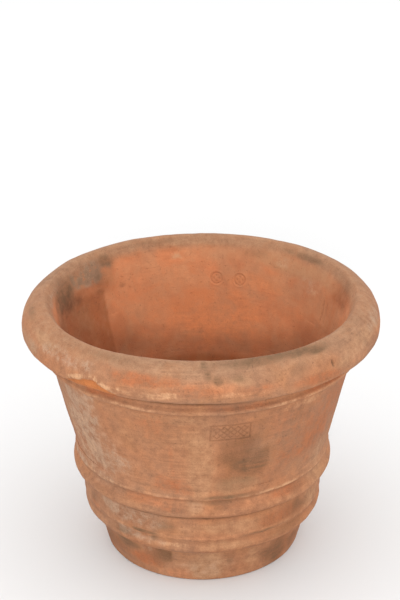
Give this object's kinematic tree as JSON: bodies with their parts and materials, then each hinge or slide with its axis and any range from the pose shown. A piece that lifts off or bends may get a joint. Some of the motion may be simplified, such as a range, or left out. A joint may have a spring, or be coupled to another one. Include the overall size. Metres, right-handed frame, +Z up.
{
  "type": "terracotta pot",
  "caption": "Round tapered terracotta planter with a heavy rolled rim, a collar under it and two belts low on the wall, open at the top and drained through the floor.",
  "frame": {"origin": "centre of the underside, on the ground plane the pot stands on", "axes": "+Z up along the pot's axis; -Y is the side the maker's panel faces"},
  "size_m": [0.5, 0.5, 0.3824],
  "materials": {
    "terracotta": "matt unglazed fired clay, weathered, with lime bloom and soot-grey patches"
  },
  "bodies": {
    "root": {"base_slab": "terracotta", "foot_course": "terracotta", "body_course": "terracotta", "top_course": "terracotta", "lower_belt": "terracotta", "upper_belt": "terracotta", "collar_band": "terracotta", "rim_coil": "terracotta"}
  },
  "joints": []
}
